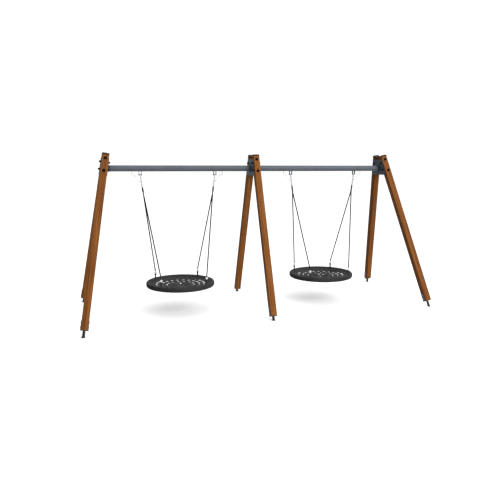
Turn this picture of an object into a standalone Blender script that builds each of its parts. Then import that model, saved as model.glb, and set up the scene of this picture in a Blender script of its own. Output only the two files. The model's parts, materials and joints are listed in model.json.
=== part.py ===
"""Double nest swing: three timber A-frames, two steel crossbars and two round rubber seats.

Metres, +Z up. X runs along the crossbars, Y is the direction the seats swing in, and the
origin is on the ground under the middle of the middle frame. The end frames lean inwards, so
their feet stand further out than their heads. Each seat hangs from two pivots on one line
along X, and everything below its pivots turns about that line.
"""

import math

import bmesh
import bpy
from mathutils import Matrix, Vector

# Frame
BEAM_Z = 2.504  # height of the crossbars' axis
FRAME_X = 2.595  # end frames' distance from the middle frame, at beam height
END_SPLAY = 0.435  # how much further out an end frame's feet stand at the ground
LEG_Y_TOP = 0.184  # leg axis to the frame's middle, at beam height
LEG_Y_FOOT = 1.115  # the same at the ground
POST_SIDE = 0.110  # square timber
POST_BELOW = 2.598  # timber below beam height, along the leg
POST_ABOVE = {-1: 0.225, 0: 0.212, 1: 0.225}  # timber above beam height, along the leg
POST_CHAMFER = 0.006
CAP_SIDE = 0.115
CAP_THICK = 0.030
GAP = 0.0003  # between pieces that touch
SINK = 0.001  # how far a welded or bolted shape is let into its neighbour

# Crossbars
BEAM_R = 0.0508
BEAM_WALL = 0.005
COLLAR_REACH = 0.102  # collar face to the frame's middle plane
COLLAR_R = 0.0535
SPIGOT_LENGTH = 0.060
SPIGOT_R = BEAM_R - BEAM_WALL - 0.0008

# Head brackets, in the frame's own plane, from the crossbars' axis
HEAD_RISE = {-1: 0.012, 0: 0.0, 1: 0.012}  # end frames' plates and bolts sit a little higher
PLATE_THICK = 0.007
PLATE_TOP = 0.161
PLATE_BOTTOM = -0.127
PLATE_HALF_TOP = 0.158
PLATE_HALF_BOTTOM = 0.238
PLATE_CORNER = 0.014
SPACER_R = 0.048
BOLT_HEIGHTS = (0.093, -0.031)
BOLT_INSET = 0.026  # bolts sit this much nearer the middle than the leg's axis
BOLT_R = 0.006
BORE_R = 0.0066
BOLT_CAP_R = 0.0185
BOLT_CAP_HEIGHT = 0.026

# Ground anchors
SHOE_HEIGHT = 0.150  # side plates up the timber
SHOE_WIDTH = 0.062
SHOE_THICK = 0.006
SHOE_BASE = 0.088
STUB_R = 0.0215
FOOT_R = 0.030
FOOT_THICK = 0.010
SHOE_BOLT_R = 0.005
SHOE_BORE_R = 0.0056
SHOE_BOLT_HEAD_R = 0.011
SHOE_BOLT_HEAD = 0.007
SHOE_BOLT_HEIGHTS = (0.040, 0.115)

# Hangers
SEAT_X = 1.360  # seat middle to the middle frame
HANGER_X = 0.645  # each side of the seat's middle
SAFETY_X = 0.780  # safety cable eyes, each side of the seat's middle
PIVOT_Z = 2.400
LUG_SPACING = 0.042
LUG_THICK = 0.006
LUG_HALF_WIDTH = 0.020
EYE_THICK = 0.004  # safety cable eyes
EYE_HALF_WIDTH = 0.013
PIN_R = 0.006
PIN_BORE_R = 0.0066
PIN_HEAD_R = 0.0105
PIN_HEAD = 0.007
BARREL_R = 0.0125
TONGUE_THICK = 0.008
TONGUE_HALF_WIDTH = 0.014
TONGUE_HOLE_R = 0.009
HANGER_SLOPE = 0.134  # sideways per metre down, towards the seat's middle

# Chain, along the hanger line from the pivot
LINK_WIRE_R = 0.0035
LINK_INNER = 0.0275
LINK_HALF_WIDTH = 0.0095
LINK_PITCH = LINK_INNER + 0.001
LINKS = 5
EYE_AT = 0.047  # tongue hole
HEAD_EYE_AT = 0.1968  # hole in the rope head
HEAD_BODY = (0.214, 0.303)
HEAD_BODY_R = 0.0150
YOKE = (0.303, 0.346)
YOKE_HALF_WIDTH = 0.021
YOKE_THICK = 0.016

# Seat
SEAT_R = 0.600
SEAT_TOP = 0.531
SEAT_SEGMENTS = 36
SEAT_RING = (
    (0.5180, 0.4640),
    (0.5400, 0.4480),
    (0.5860, 0.4510),
    (SEAT_R, 0.4680),
    (SEAT_R, 0.5140),
    (0.5880, SEAT_TOP),
    (0.5460, SEAT_TOP),
    (0.5180, 0.5120),
)
NET_R = 0.5172
NET_THICK = 0.020
NET_EDGE_TOP = 0.506
NET_DISH = 0.038
NET_STEPS = 3  # straight steps from the middle of the dish to its edge
NET_HOLES = (  # radius, angles from +X in degrees, half length, half width
    (0.150, (0, 60, 120, 180, 240, 300), 0.050, 0.024),
    (0.350, (-44, -22, 0, 22, 44, 136, 158, 180, 202, 224), 0.060, 0.028),
)

# Ropes
TIE = 0.390  # rope fixings from the seat's middle, in X and in Y
ROPE_R = 0.010
ROPE_TOP_Y = 0.0115
ROPE_SPANS = 4
FIXING_BASE_R = 0.024
FIXING_BASE = 0.008
FIXING_NECK_R = 0.011
FIXING_HEAD_R = 0.019
FIXING_HEAD = (0.594, 0.612)
RING_R = 0.017
RING_WIRE_R = 0.005
RING_Z = 0.630
ROPE_FOOT_Z = 0.656
SAFETY_R = 0.0025

SIDES = (("front", -1), ("rear", 1))
FRAMES = (("left", -1), ("middle", 0), ("right", 1))


def clear_scene():
    for item in list(bpy.data.objects):
        bpy.data.objects.remove(item, do_unlink=True)


def make_material(name, colour, roughness, metallic=0.0):
    material = bpy.data.materials.new(name)
    material.use_nodes = True
    shader = material.node_tree.nodes["Principled BSDF"]
    shader.inputs["Base Color"].default_value = (*colour, 1.0)
    shader.inputs["Roughness"].default_value = roughness
    shader.inputs["Metallic"].default_value = metallic
    return material


def empty(name, location, rotation=(0.0, 0.0, 0.0)):
    guide = bpy.data.objects.new(name, None)
    guide.location = location
    guide.rotation_euler = rotation
    bpy.context.scene.collection.objects.link(guide)
    return guide


def place(name, bm, material, parent=None, location=(0.0, 0.0, 0.0), rotation=(0.0, 0.0, 0.0)):
    """Turn a bmesh into a named object with outward faces."""
    bmesh.ops.recalc_face_normals(bm, faces=bm.faces)
    mesh = bpy.data.meshes.new(name)
    bm.to_mesh(mesh)
    bm.free()
    mesh.materials.append(material)
    mesh.shade_smooth()
    mesh.set_sharp_from_angle(angle=math.radians(35))
    thing = bpy.data.objects.new(name, mesh)
    bpy.context.scene.collection.objects.link(thing)
    thing.parent = parent
    thing.location = location
    thing.rotation_euler = rotation
    return thing


def hide(cutter):
    cutter.hide_render = True
    cutter.display_type = "WIRE"
    return cutter


def combine(target, tool, operation):
    modifier = target.modifiers.new(operation.title(), "BOOLEAN")
    modifier.operation = operation
    modifier.solver = "EXACT"
    modifier.object = hide(tool)
    return target


def add_box(bm, size, centre):
    matrix = Matrix.Translation(centre) @ Matrix.Diagonal((*size, 1.0))
    bmesh.ops.create_cube(bm, size=1.0, matrix=matrix)


def along(direction):
    """Rotation that carries +Z to the direction."""
    return Vector((0.0, 0.0, 1.0)).rotation_difference(Vector(direction)).to_matrix().to_4x4()


def add_rod(bm, start, end, radius, segments=16):
    start = Vector(start)
    end = Vector(end)
    matrix = Matrix.Translation((start + end) / 2) @ along(end - start)
    bmesh.ops.create_cone(
        bm,
        cap_ends=True,
        segments=segments,
        radius1=radius,
        radius2=radius,
        depth=(end - start).length,
        matrix=matrix,
    )


def add_turned(bm, profile, matrix=None, segments=24):
    """Closed profile of (radius, height) points turned about +Z."""
    rings = []
    for step in range(segments):
        angle = math.tau * step / segments
        ring = []
        for radius, height in profile:
            if radius < 1e-9 and step > 0:
                ring.append(rings[0][len(ring)])
                continue
            point = Vector((radius * math.cos(angle), radius * math.sin(angle), height))
            ring.append(bm.verts.new(matrix @ point if matrix else point))
        rings.append(ring)
    count = len(profile)
    for step in range(segments):
        near = rings[step]
        far = rings[(step + 1) % segments]
        for k in range(count):
            corners = [near[k], far[k], far[(k + 1) % count], near[(k + 1) % count]]
            face = list(dict.fromkeys(corners))
            if len(face) > 2:
                bm.faces.new(face)


def add_tube_loop(bm, path, radius, frame_normal, segments=4):
    """Round wire of one radius along a closed flat path."""
    rings = []
    count = len(path)
    for i in range(count):
        tangent = (path[(i + 1) % count] - path[i - 1]).normalized()
        side = tangent.cross(frame_normal).normalized()
        ring = []
        for k in range(segments):
            angle = math.tau * k / segments
            around = math.cos(angle) * side + math.sin(angle) * frame_normal
            ring.append(bm.verts.new(path[i] + radius * around))
        rings.append(ring)
    for i in range(count):
        near = rings[i]
        far = rings[(i + 1) % count]
        for k in range(segments):
            bm.faces.new((near[k], near[(k + 1) % segments], far[(k + 1) % segments], far[k]))


def add_plate(bm, outline, thickness, centre_x, corner=0.0):
    """Plate in the YZ plane: (y, z) outline, extruded along X about centre_x."""
    low = [bm.verts.new((centre_x - thickness / 2, y, z)) for y, z in outline]
    face = bm.faces.new(low)
    grown = bmesh.ops.extrude_face_region(bm, geom=[face])["geom"]
    high = [v for v in grown if isinstance(v, bmesh.types.BMVert)]
    bmesh.ops.translate(bm, verts=high, vec=(thickness, 0.0, 0.0))
    if corner > 0.0:
        edges = [
            e
            for e in {edge for v in low for edge in v.link_edges}
            if abs(e.verts[0].co.x - e.verts[1].co.x) > thickness / 2
        ]
        bmesh.ops.bevel(bm, geom=edges, offset=corner, segments=2, profile=0.5, affect="EDGES")


def strap_outline(half_width, flat, eye, steps=4):
    """(y, z) outline of a strap from its flat end to a half round about its eye."""
    turn = 1.0 if flat > eye else -1.0
    outline = [(half_width, flat), (-half_width, flat)]
    for step in range(steps + 1):
        angle = math.pi + math.pi * step / steps
        outline.append((half_width * math.cos(angle), eye + turn * half_width * math.sin(angle)))
    return outline


def bolt_cap_profile(radius, height):
    """Domed cap: a short straight skirt, then a quarter round to the top."""
    skirt = height * 0.45
    profile = [(0.0, 0.0), (radius, 0.0)]
    steps = 2
    for step in range(steps):
        angle = 0.5 * math.pi * step / steps
        profile.append((radius * math.cos(angle), skirt + (height - skirt) * math.sin(angle)))
    profile.append((0.0, height))
    return profile


def frame_tilt(side):
    """Turn of a frame about Y: the end frames' feet stand outwards."""
    return -side * math.atan(END_SPLAY / BEAM_Z)


def frame_height(side):
    """Beam height measured in the frame's own plane."""
    return BEAM_Z / math.cos(frame_tilt(side))


def leg_lean(side):
    return math.atan((LEG_Y_FOOT - LEG_Y_TOP) / frame_height(side))


def bolt_places(side):
    """(y, height) of the four through bolts of a head bracket."""
    lean = math.tan(leg_lean(side))
    return [
        (sign * (LEG_Y_TOP - height * lean - BOLT_INSET), height)
        for height in [HEAD_RISE[side] + height for height in BOLT_HEIGHTS]
        for sign in (-1, 1)
    ]


def build_post(name, side, sign, guide, timber):
    """Square post, chamfered along its edges, bored for the head and shoe bolts."""
    bm = bmesh.new()
    above = POST_ABOVE[side]
    length = above + POST_BELOW
    add_box(bm, (POST_SIDE, POST_SIDE, length), (0.0, 0.0, (above - POST_BELOW) / 2))
    upright = [e for e in bm.edges if abs(e.verts[0].co.z - e.verts[1].co.z) > length / 2]
    bmesh.ops.bevel(bm, geom=upright, offset=POST_CHAMFER, segments=1, profile=0.5, affect="EDGES")
    lean = sign * leg_lean(side)
    post = place(name, bm, timber, guide, (0.0, sign * LEG_Y_TOP, 0.0), (lean, 0.0, 0.0))
    holes = bmesh.new()
    reach = POST_SIDE
    for y, height in bolt_places(side):
        if y * sign > 0:
            add_rod(holes, (-reach, y, height), (reach, y, height), BORE_R, 8)
    cutter = place(name + "_head_bores", holes, timber, guide)
    combine(post, cutter, "DIFFERENCE")
    lower = bmesh.new()
    for height in SHOE_BOLT_HEIGHTS:
        z = height - POST_BELOW
        add_rod(lower, (-reach, 0.0, z), (reach, 0.0, z), SHOE_BORE_R, 8)
    cutter = place(name + "_shoe_bores", lower, timber, guide, post.location, post.rotation_euler)
    combine(post, cutter, "DIFFERENCE")
    return post


def build_cap(name, side, sign, guide, finish):
    """Square cap on the post's end, its upper edges rounded over."""
    bm = bmesh.new()
    base = POST_ABOVE[side] + GAP
    add_box(bm, (CAP_SIDE, CAP_SIDE, CAP_THICK), (0.0, 0.0, base + CAP_THICK / 2))
    upper = base + CAP_THICK * 0.9
    edges = [e for e in bm.edges if min(v.co.z for v in e.verts) > upper]
    bmesh.ops.bevel(bm, geom=edges, offset=0.007, segments=2, profile=0.5, affect="EDGES")
    place(name, bm, finish, guide, (0.0, sign * LEG_Y_TOP, 0.0), (sign * leg_lean(side), 0.0, 0.0))


def build_anchor(name, side, sign, guide, steel):
    """Timber shoe with side plates and bolts, a tube stub below and a foot plate on the ground."""
    lean = sign * leg_lean(side)
    place_at = (0.0, sign * LEG_Y_TOP, 0.0)
    base_top = -POST_BELOW - GAP
    bm = bmesh.new()
    base_width = POST_SIDE + 2 * GAP + SHOE_THICK
    add_box(bm, (base_width, SHOE_BASE, SHOE_THICK), (0.0, 0.0, base_top - SHOE_THICK / 2))
    shoe = place(name, bm, steel, guide, place_at, (lean, 0.0, 0.0))

    plates = bmesh.new()
    for hand in (-1, 1):
        x = hand * (POST_SIDE / 2 + GAP + SHOE_THICK / 2)
        low = base_top - SHOE_THICK / 2
        high = -POST_BELOW + SHOE_HEIGHT
        half = SHOE_WIDTH / 2
        outline = ((-half, low), (half, low), (half, high), (-half, high))
        add_plate(plates, outline, SHOE_THICK, x)
    combine(shoe, place(name + "_plates", plates, steel, guide, place_at, (lean, 0.0, 0.0)), "UNION")

    bolts = bmesh.new()
    half = POST_SIDE / 2 + GAP + SHOE_THICK - SINK + SHOE_BOLT_HEAD
    for height in SHOE_BOLT_HEIGHTS:
        z = height - POST_BELOW
        add_turned(
            bolts,
            (
                (0.0, -half),
                (SHOE_BOLT_HEAD_R, -half),
                (SHOE_BOLT_HEAD_R, SHOE_BOLT_HEAD - half),
                (SHOE_BOLT_R, SHOE_BOLT_HEAD - half),
                (SHOE_BOLT_R, half - SHOE_BOLT_HEAD),
                (SHOE_BOLT_HEAD_R, half - SHOE_BOLT_HEAD),
                (SHOE_BOLT_HEAD_R, half),
                (0.0, half),
            ),
            Matrix.Translation((0.0, 0.0, z)) @ along((1.0, 0.0, 0.0)),
            6,
        )
    combine(shoe, place(name + "_bolts", bolts, steel, guide, place_at, (lean, 0.0, 0.0)), "UNION")

    matrix = guide.matrix_basis @ Matrix.Translation(place_at) @ Matrix.Rotation(lean, 4, "X")
    top = matrix @ Vector((0.0, 0.0, base_top - SHOE_THICK / 2))
    down = (matrix.to_3x3() @ Vector((0.0, 0.0, -1.0))).normalized()
    foot = top + down * (top.z / -down.z)
    stub = bmesh.new()
    add_rod(stub, top, foot + down * 0.05, STUB_R, 12)
    ground_cut = [v for v in stub.verts if v.co.z < FOOT_THICK]
    for vert in ground_cut:
        vert.co -= down * ((vert.co.z - FOOT_THICK / 2) / down.z)
    combine(shoe, place(name + "_stub", stub, steel), "UNION")
    plate = bmesh.new()
    add_rod(plate, (foot.x, foot.y, 0.0), (foot.x, foot.y, FOOT_THICK), FOOT_R, 12)
    combine(shoe, place(name + "_foot", plate, steel), "UNION")
    return foot


def build_bracket(name, side, guide, steel):
    """Two side plates, the spacer between them, their bolts, and the collars for the crossbars."""
    half_gap = POST_SIDE / 2 + GAP
    bottom = PLATE_BOTTOM + HEAD_RISE[side]
    top = PLATE_TOP + HEAD_RISE[side]
    outline = (
        (-PLATE_HALF_BOTTOM, bottom),
        (PLATE_HALF_BOTTOM, bottom),
        (PLATE_HALF_TOP, top),
        (-PLATE_HALF_TOP, top),
    )
    bm = bmesh.new()
    for hand in (-1, 1):
        add_plate(bm, outline, PLATE_THICK, hand * (half_gap + PLATE_THICK / 2), PLATE_CORNER)
    bracket = place(name, bm, steel, guide)

    middle = bmesh.new()
    reach = half_gap + PLATE_THICK / 2
    add_rod(middle, (-reach, 0.0, 0.0), (reach, 0.0, 0.0), SPACER_R, 16)
    combine(bracket, place(name + "_spacer", middle, steel, guide), "UNION")

    bolts = bmesh.new()
    face = half_gap + PLATE_THICK - SINK
    for y, height in bolt_places(side):
        upper = bolt_cap_profile(BOLT_CAP_R, BOLT_CAP_HEIGHT)
        lower = [(radius, -z) for radius, z in reversed(upper)]
        profile = [(radius, z - face) for radius, z in lower[:-1]]
        profile += [(BOLT_R, -face), (BOLT_R, face)]
        profile += [(radius, z + face) for radius, z in upper[1:]]
        add_turned(bolts, profile, Matrix.Translation((0.0, y, height)) @ along((1.0, 0.0, 0.0)), 6)
    combine(bracket, place(name + "_bolts", bolts, steel, guide), "UNION")

    collars = bmesh.new()
    centre = Vector((side * FRAME_X, 0.0, BEAM_Z))
    for hand in (-1, 1):
        if hand == side:
            continue
        inner = half_gap + PLATE_THICK * 0.3
        profile = (
            (0.0, inner),
            (COLLAR_R, inner),
            (COLLAR_R, COLLAR_REACH),
            (SPIGOT_R, COLLAR_REACH),
            (SPIGOT_R, COLLAR_REACH + SPIGOT_LENGTH),
            (0.0, COLLAR_REACH + SPIGOT_LENGTH),
        )
        add_turned(collars, profile, Matrix.Translation(centre) @ along((hand, 0.0, 0.0)), 20)
    combine(bracket, place(name + "_collars", collars, steel), "UNION")
    return bracket


def lug_outline(half_width):
    """Lug from 2 mm inside the tube's wall down to a half round about the pivot line."""
    top = BEAM_Z - math.sqrt(BEAM_R**2 - half_width**2) + 0.002
    return strap_outline(half_width, top, PIVOT_Z)


def build_crossbar(name, side, steel):
    """Open tube between two collars, with hanger lugs and safety cable eyes welded under it."""
    start = COLLAR_REACH + GAP
    end = FRAME_X - COLLAR_REACH - GAP
    inner = BEAM_R - BEAM_WALL
    bm = bmesh.new()
    add_turned(
        bm,
        ((inner, start), (inner, end), (BEAM_R, end), (BEAM_R, start)),
        Matrix.Translation((0.0, 0.0, BEAM_Z)) @ along((side, 0.0, 0.0)),
        20,
    )
    bar = place(name, bm, steel)
    lugs = bmesh.new()
    lug = lug_outline(LUG_HALF_WIDTH)
    eye = lug_outline(EYE_HALF_WIDTH)
    for hand in (-1, 1):
        hanger = side * SEAT_X + hand * HANGER_X
        for offset in (-LUG_SPACING / 2, LUG_SPACING / 2):
            add_plate(lugs, lug, LUG_THICK, hanger + offset)
        add_plate(lugs, eye, EYE_THICK, side * SEAT_X + hand * SAFETY_X)
    combine(bar, place(name + "_lugs", lugs, steel), "UNION")
    bores = bmesh.new()
    for hand in (-1, 1):
        for x, reach in ((HANGER_X, LUG_SPACING), (SAFETY_X, EYE_THICK * 2)):
            at = side * SEAT_X + hand * x
            add_rod(bores, (at - reach, 0.0, PIVOT_Z), (at + reach, 0.0, PIVOT_Z), PIN_BORE_R, 8)
    combine(bar, place(name + "_bores", bores, steel), "DIFFERENCE")
    return bar


def hanger_guide(name, hand, parent):
    """Empty on the pivot line whose -Z runs down the hanger line, towards the seat's middle."""
    guide = empty(name, (hand * HANGER_X, 0.0, 0.0), (0.0, math.atan(hand * HANGER_SLOPE), 0.0))
    guide.parent = parent
    return guide


def build_swivel(name, hand, parent, guide, steel):
    """Pivot bolt and barrel between the lugs, with a tongue below for the chain."""
    bm = bmesh.new()
    inside = LUG_SPACING / 2 - LUG_THICK / 2 - 0.001
    outside = LUG_SPACING / 2 + LUG_THICK / 2 + 0.001
    end = outside + PIN_HEAD
    profile = (
        (0.0, -end),
        (PIN_HEAD_R, -end),
        (PIN_HEAD_R, -outside),
        (PIN_R, -outside),
        (PIN_R, -inside),
        (BARREL_R, -inside),
        (BARREL_R, inside),
        (PIN_R, inside),
        (PIN_R, outside),
        (PIN_HEAD_R, outside),
        (PIN_HEAD_R, end),
        (0.0, end),
    )
    add_turned(bm, profile, along((1.0, 0.0, 0.0)), 8)
    swivel = place(name, bm, steel, parent, (hand * HANGER_X, 0.0, 0.0))
    strap = bmesh.new()
    add_plate(strap, strap_outline(TONGUE_HALF_WIDTH, 0.0, -EYE_AT), TONGUE_THICK, 0.0)
    combine(swivel, place(name + "_tongue", strap, steel, guide), "UNION")
    hole = bmesh.new()
    add_rod(hole, (-0.02, 0.0, -EYE_AT), (0.02, 0.0, -EYE_AT), TONGUE_HOLE_R, 8)
    combine(swivel, place(name + "_hole", hole, steel, guide), "DIFFERENCE")


def link_path(centre, across, steps=4):
    """Closed flat path of a chain link's wire: two half rounds and two straights."""
    radius = LINK_HALF_WIDTH
    straight = (LINK_INNER + 2 * LINK_WIRE_R) / 2 - radius
    down = Vector((0.0, 0.0, -1.0))
    path = []
    for end in (1, -1):
        for step in range(steps):
            angle = math.pi * step / (steps - 1)
            swing = across * (radius * math.cos(angle) * end)
            path.append(centre + swing + down * (end * (straight + radius * math.sin(angle))))
    return path


def build_chain(name, guide, steel):
    """Straight run of links, each a quarter turn from the last and just touching it."""
    first = EYE_AT + TONGUE_HOLE_R - GAP - LINK_WIRE_R + LINK_INNER / 2 + LINK_WIRE_R
    parts = (bmesh.new(), bmesh.new())
    for i in range(LINKS):
        centre = Vector((0.0, 0.0, -(first - LINK_WIRE_R + i * LINK_PITCH)))
        across = Vector((1.0, 0.0, 0.0)) if i % 2 == 0 else Vector((0.0, 1.0, 0.0))
        normal = Vector((0.0, 1.0, 0.0)) if i % 2 == 0 else Vector((1.0, 0.0, 0.0))
        add_tube_loop(parts[i % 2], link_path(centre, across), LINK_WIRE_R, normal)
    chain = place(name, parts[0], steel, guide)
    combine(chain, place(name + "_cross_links", parts[1], steel, guide), "UNION")


def build_rope_head(name, guide, steel):
    """Eye, round swivel body and the yoke that the two ropes leave from."""
    bm = bmesh.new()
    overlap = 0.004
    flat = -HEAD_BODY[0] - overlap
    add_plate(bm, strap_outline(TONGUE_HALF_WIDTH, flat, -HEAD_EYE_AT), TONGUE_THICK, 0.0)
    head = place(name, bm, steel, guide)
    body = bmesh.new()
    add_rod(body, (0.0, 0.0, -HEAD_BODY[0]), (0.0, 0.0, -HEAD_BODY[1]), HEAD_BODY_R, 12)
    combine(head, place(name + "_body", body, steel, guide), "UNION")
    yoke = bmesh.new()
    height = YOKE[1] - YOKE[0] + overlap
    add_box(yoke, (YOKE_THICK, YOKE_HALF_WIDTH * 2, height), (0.0, 0.0, height / 2 - YOKE[1]))
    combine(head, place(name + "_yoke", yoke, steel, guide), "UNION")
    hole = bmesh.new()
    add_rod(hole, (-0.02, 0.0, -HEAD_EYE_AT), (0.02, 0.0, -HEAD_EYE_AT), TONGUE_HOLE_R, 8)
    combine(head, place(name + "_hole", hole, steel, guide), "DIFFERENCE")


def build_fixing(name, x, y, parent, steel):
    """Rope fixing on the seat's ring: a flange, a flared body and a steel ring above it."""
    bm = bmesh.new()
    low = SEAT_TOP + GAP
    profile = (
        (0.0, low),
        (FIXING_BASE_R, low),
        (FIXING_BASE_R, low + FIXING_BASE),
        (FIXING_NECK_R, low + FIXING_BASE),
        (FIXING_HEAD_R, FIXING_HEAD[0]),
        (FIXING_HEAD_R, FIXING_HEAD[1]),
        (0.0, FIXING_HEAD[1]),
    )
    add_turned(bm, profile, Matrix.Translation((x, y, -PIVOT_Z)), 10)
    fixing = place(name, bm, steel, parent)
    wire = bmesh.new()
    steps = 8
    path = []
    for step in range(steps):
        angle = math.tau * step / steps
        path.append(Vector((x + RING_R * math.cos(angle), y, RING_Z - PIVOT_Z + RING_R * math.sin(angle))))
    add_tube_loop(wire, path, RING_WIRE_R, Vector((0.0, 1.0, 0.0)))
    combine(fixing, place(name + "_ring", wire, steel, parent), "UNION")


def build_tube(name, points, radius, parent, finish):
    """Round cord through the points."""
    curve = bpy.data.curves.new(name, "CURVE")
    curve.dimensions = "3D"
    curve.bevel_depth = radius
    curve.bevel_resolution = 2
    curve.use_fill_caps = True
    spline = curve.splines.new("POLY")
    spline.points.add(len(points) - 1)
    for target, point in zip(spline.points, points):
        target.co = (*point, 1.0)
    curve.materials.append(finish)
    cord = bpy.data.objects.new(name, curve)
    bpy.context.scene.collection.objects.link(cord)
    cord.parent = parent


def hanger_point(hand, down, y=0.0):
    """Point at a distance down a hanger line, from the seat's middle on the pivot line."""
    slope = math.hypot(1.0, HANGER_SLOPE)
    return Vector((hand * (HANGER_X - down * HANGER_SLOPE / slope), y, -down / slope))


def rope_points(hand, sign):
    """Straight rope from under the yoke to just above its ring on the seat."""
    top = hanger_point(hand, YOKE[1] + 0.0035, sign * ROPE_TOP_Y)
    foot = Vector((hand * TIE, sign * TIE, ROPE_FOOT_Z - PIVOT_Z))
    return [top.lerp(foot, i / ROPE_SPANS) for i in range(ROPE_SPANS + 1)]


def safety_points(hand):
    """Cable through its eye on the pivot line, then down across to the chain's side."""
    lower = hanger_point(hand, 0.120) + Vector((hand * 0.0175, 0.0, 0.0))
    turn = Vector((hand * (SAFETY_X - 0.030), 0.0, -0.004))
    points = [Vector((hand * (SAFETY_X + 0.014), 0.0, 0.0)), Vector((hand * (SAFETY_X - 0.012), 0.0, 0.0))]
    points += [turn.lerp(lower, i / 4) for i in range(5)]
    return points


def build_seat_ring(name, parent, rubber):
    bm = bmesh.new()
    add_turned(bm, [(radius, z - PIVOT_Z) for radius, z in SEAT_RING], None, SEAT_SEGMENTS)
    place(name, bm, rubber, parent)


def build_seat_net(name, parent, rubber):
    """Dished rubber disc inside the ring, pierced by leaf-shaped holes across its middle."""
    bm = bmesh.new()
    top = []
    for i in range(NET_STEPS + 1):
        radius = NET_R * i / NET_STEPS
        top.append((radius, NET_EDGE_TOP - NET_DISH * (1.0 - (radius / NET_R) ** 2) - PIVOT_Z))
    profile = [(radius, z - NET_THICK) for radius, z in top] + list(reversed(top))
    add_turned(bm, profile, None, SEAT_SEGMENTS)
    net = place(name, bm, rubber, parent)
    holes = bmesh.new()
    for radius, angles, half_length, half_width in NET_HOLES:
        for angle in angles:
            outward = Matrix.Translation((radius, 0.0, NET_EDGE_TOP - PIVOT_Z))
            centre = Matrix.Rotation(math.radians(angle), 4, "Z") @ outward
            shape = centre @ Matrix.Diagonal((half_length, half_width, 1.0, 1.0))
            bmesh.ops.create_cone(
                holes, cap_ends=True, segments=6, radius1=1.0, radius2=1.0, depth=0.2, matrix=shape
            )
    combine(net, place(name + "_holes", holes, rubber, parent), "DIFFERENCE")


def build_frames(timber, cap_finish, steel):
    for frame_name, side in FRAMES:
        centre = (side * FRAME_X, 0.0, BEAM_Z)
        guide = empty("frame_" + frame_name, centre, (0.0, frame_tilt(side), 0.0))
        for leg_name, sign in SIDES:
            ending = f"_{frame_name}_{leg_name}"
            build_post("post" + ending, side, sign, guide, timber)
            build_cap("post_cap" + ending, side, sign, guide, cap_finish)
            build_anchor("ground_anchor" + ending, side, sign, guide, steel)
        build_bracket("head_bracket_" + frame_name, side, guide, steel)


def build_swing(side_name, side, finishes):
    """One seat with its ropes, chains and swivels, on an empty on its pivot line."""
    pivot = empty("swing_" + side_name, (side * SEAT_X, 0.0, PIVOT_Z))
    build_seat_ring("seat_ring_" + side_name, pivot, finishes["rubber"])
    build_seat_net("seat_net_" + side_name, pivot, finishes["rubber"])
    for hand_name, hand in (("inner", -side), ("outer", side)):
        ending = f"_{side_name}_{hand_name}"
        guide = hanger_guide("hanger" + ending, hand, pivot)
        build_swivel("swivel" + ending, hand, pivot, guide, finishes["zinc"])
        build_chain("chain" + ending, guide, finishes["zinc"])
        build_rope_head("rope_head" + ending, guide, finishes["dark_metal"])
        build_tube("safety_cable" + ending, safety_points(hand), SAFETY_R, pivot, finishes["zinc"])
        for leg_name, sign in SIDES:
            full = ending + "_" + leg_name
            build_tube("rope" + full, rope_points(hand, sign), ROPE_R, pivot, finishes["rope"])
            build_fixing("rope_fixing" + full, hand * TIE, sign * TIE, pivot, finishes["dark_metal"])


def main():
    clear_scene()
    timber = make_material("oiled_timber", (0.283, 0.102, 0.026), 0.6)
    cap_finish = make_material("dark_cap", (0.038, 0.017, 0.007), 0.55)
    steel = make_material("grey_steel", (0.147, 0.165, 0.188), 0.4, 0.6)
    finishes = {
        "zinc": make_material("zinc_plate", (0.55, 0.56, 0.58), 0.35, 0.9),
        "dark_metal": make_material("dark_metal", (0.05, 0.052, 0.056), 0.5, 0.4),
        "rope": make_material("grey_rope", (0.07, 0.07, 0.072), 0.85),
        "rubber": make_material("black_rubber", (0.045, 0.045, 0.045), 0.8),
    }
    build_frames(timber, cap_finish, steel)
    for side_name, side in (("left", -1), ("right", 1)):
        build_crossbar("crossbar_" + side_name, side, steel)
        build_swing(side_name, side, finishes)


main()
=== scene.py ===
"""Double nest swing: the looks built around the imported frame.

Metres, +Z up, in the frame's own axes: X along the crossbars, Y the way the seats swing.
Every new piece is a surface worked out with numpy and put into its mesh in world places.
"""

import json
import math

import bpy
import numpy as np
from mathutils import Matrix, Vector


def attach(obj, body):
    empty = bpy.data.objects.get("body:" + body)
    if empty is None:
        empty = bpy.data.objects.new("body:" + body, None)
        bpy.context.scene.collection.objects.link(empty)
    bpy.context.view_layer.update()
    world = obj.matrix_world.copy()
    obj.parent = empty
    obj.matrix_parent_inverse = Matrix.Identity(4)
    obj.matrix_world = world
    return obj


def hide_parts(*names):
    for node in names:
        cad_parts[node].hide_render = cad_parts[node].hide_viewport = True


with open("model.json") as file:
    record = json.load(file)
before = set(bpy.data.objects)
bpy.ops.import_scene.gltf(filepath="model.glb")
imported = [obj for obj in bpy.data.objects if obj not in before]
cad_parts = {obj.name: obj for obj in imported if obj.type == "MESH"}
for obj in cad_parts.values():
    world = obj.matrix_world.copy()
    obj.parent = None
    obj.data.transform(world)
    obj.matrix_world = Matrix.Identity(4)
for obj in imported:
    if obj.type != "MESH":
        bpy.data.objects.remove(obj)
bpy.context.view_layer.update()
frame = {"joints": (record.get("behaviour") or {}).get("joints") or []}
JOINTS = {joint["name"]: joint for joint in frame["joints"]}

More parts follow.
